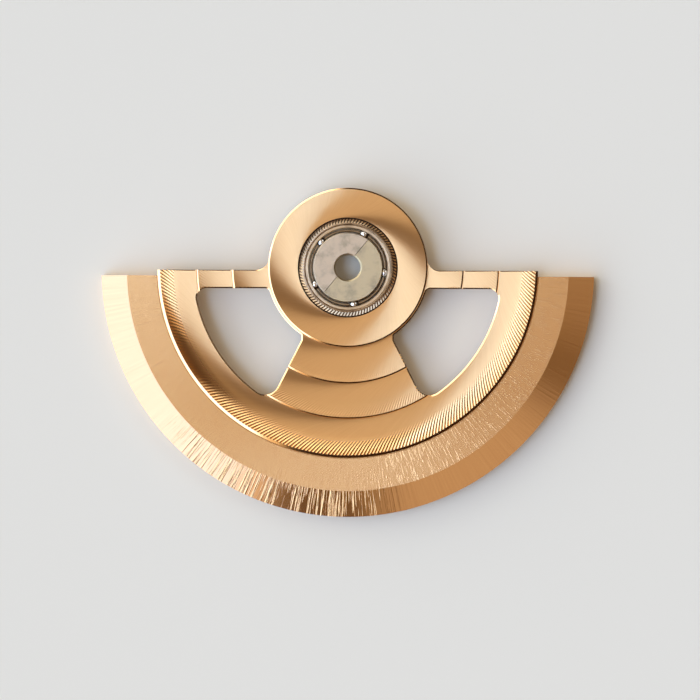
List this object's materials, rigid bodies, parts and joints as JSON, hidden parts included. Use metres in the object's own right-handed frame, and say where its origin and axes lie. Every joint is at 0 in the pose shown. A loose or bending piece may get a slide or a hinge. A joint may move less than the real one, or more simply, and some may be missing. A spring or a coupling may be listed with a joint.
{
  "type": "automatic watch rotor",
  "caption": "Half-disc winding rotor with scooped, ribbed carrier plate, heavy bevelled rim and a small ball bearing at its centre.",
  "frame": {"origin": "on the bearing's axis, at the face on which the inner race seats", "axes": "+Z along the bearing's axis towards the decorated side, -Y towards the middle of the weight as it hangs, +X across the rotor to the right as seen from above"},
  "size_m": [0.0262, 0.0175, 0.0016],
  "materials": {
    "plated_weight": "satin",
    "plated_plate": "satin",
    "race_steel": "satin",
    "pin_steel": "satin",
    "cage_steel": "satin",
    "ball_steel": "polished"
  },
  "bodies": {
    "inner_race": {"inner_race_left": "race_steel", "inner_race_right": "race_steel", "seat_ring": "race_steel"},
    "rotor": {"rim_weight": "plated_weight", "carrier_plate": "plated_plate", "rim_pins": "pin_steel", "outer_race": "race_steel", "knurled_bush": "race_steel", "rotor_pinion": "race_steel"},
    "cage": {"ball_cage": "cage_steel"},
    "ball_body_1": {"ball_1": "ball_steel"},
    "ball_body_2": {"ball_2": "ball_steel"},
    "ball_body_3": {"ball_3": "ball_steel"},
    "ball_body_4": {"ball_4": "ball_steel"},
    "ball_body_5": {"ball_5": "ball_steel"}
  },
  "joints": [
    {"name": "rotor_spin", "type": "hinge", "parent": "inner_race", "child": "rotor", "pos_m": [0, 0, 0], "axis": [0, 0, 1], "continuous": true},
    {"name": "cage_spin", "type": "hinge", "parent": "inner_race", "child": "cage", "pos_m": [0, 0, 0], "axis": [0, 0, 1], "continuous": true},
    {"name": "ball_1_spin", "type": "hinge", "parent": "cage", "child": "ball_body_1", "pos_m": [0.00086, 0.00177, 0.00072], "axis": [0, 0, 1], "continuous": true},
    {"name": "ball_2_spin", "type": "hinge", "parent": "cage", "child": "ball_body_2", "pos_m": [-0.00142, 0.00137, 0.00072], "axis": [0, 0, 1], "continuous": true},
    {"name": "ball_3_spin", "type": "hinge", "parent": "cage", "child": "ball_body_3", "pos_m": [-0.00174, -0.00092, 0.00072], "axis": [0, 0, 1], "continuous": true},
    {"name": "ball_4_spin", "type": "hinge", "parent": "cage", "child": "ball_body_4", "pos_m": [0.00034, -0.00194, 0.00072], "axis": [0, 0, 1], "continuous": true},
    {"name": "ball_5_spin", "type": "hinge", "parent": "cage", "child": "ball_body_5", "pos_m": [0.00195, -0.00027, 0.00072], "axis": [0, 0, 1], "continuous": true}
  ],
  "couplings": [
    {"joint": "cage_spin", "follows": "rotor_spin", "ratio": 0.54666},
    {"joint": "ball_1_spin", "follows": "rotor_spin", "ratio": 5.311},
    {"joint": "ball_2_spin", "follows": "rotor_spin", "ratio": 5.311},
    {"joint": "ball_3_spin", "follows": "rotor_spin", "ratio": 5.311},
    {"joint": "ball_4_spin", "follows": "rotor_spin", "ratio": 5.311},
    {"joint": "ball_5_spin", "follows": "rotor_spin", "ratio": 5.311}
  ]
}
